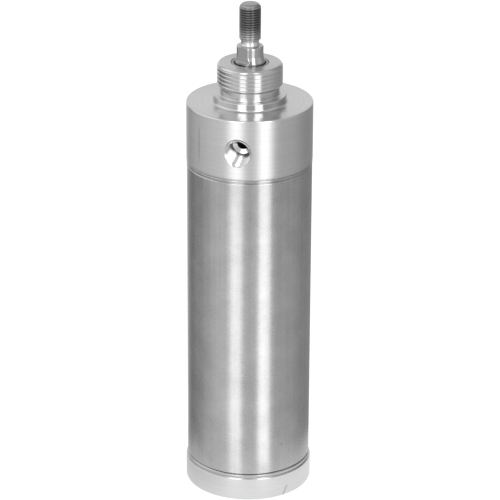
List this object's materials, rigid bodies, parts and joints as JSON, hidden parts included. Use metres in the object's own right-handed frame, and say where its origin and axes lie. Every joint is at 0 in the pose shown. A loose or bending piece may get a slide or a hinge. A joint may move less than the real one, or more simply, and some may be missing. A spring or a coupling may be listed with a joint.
{
  "type": "pneumatic cylinder",
  "caption": "Round-body double-acting pneumatic cylinder with a threaded nose mount, side and rear pipe ports, and a sliding piston rod with a threaded end.",
  "frame": {"origin": "centre of the rear end face", "axes": "+Z along the cylinder's axis, towards the rod end; the front port opens towards -Y"},
  "size_m": [0.0666, 0.0666, 0.2658],
  "materials": {
    "stainless_steel": "lightly brushed stainless tube",
    "head_aluminium": "bright machined",
    "piston_aluminium": "machined",
    "chromed_steel": "ground and hard chromed",
    "sintered_bronze": "oil-filled sintered bronze",
    "zinc_plated_steel": "zinc plated",
    "spring_steel": "phosphated",
    "nitrile_rubber": "moulded",
    "urethane": "moulded, satin",
    "wear_ring_plastic": "matte"
  },
  "bodies": {
    "barrel": {"barrel_tube": "stainless_steel", "front_head": "head_aluminium", "rear_head": "head_aluminium", "rod_bushing": "sintered_bronze", "rod_seal": "nitrile_rubber", "rod_seal_washer": "spring_steel", "rod_seal_retaining_ring": "spring_steel", "front_head_o_ring": "nitrile_rubber", "rear_head_o_ring": "nitrile_rubber", "front_bumper": "urethane", "rear_bumper": "urethane"},
    "piston_seals": {"piston_cup_front": "nitrile_rubber", "piston_cup_rear": "nitrile_rubber", "piston_wear_ring": "wear_ring_plastic"},
    "rod_assembly": {"piston_rod": "chromed_steel", "piston_front_half": "piston_aluminium", "piston_rear_half": "piston_aluminium", "piston_o_ring": "nitrile_rubber", "piston_washer": "zinc_plated_steel", "piston_lock_nut": "zinc_plated_steel"}
  },
  "joints": [
    {"name": "rod_slide", "type": "slide", "parent": "barrel", "child": "piston_seals", "axis": [0, 0, 1], "range_m": [0, 0.1016]},
    {"name": "rod_spin", "type": "hinge", "parent": "piston_seals", "child": "rod_assembly", "pos_m": [0, 0, 0.0455], "axis": [0, 0, 1], "continuous": true}
  ]
}
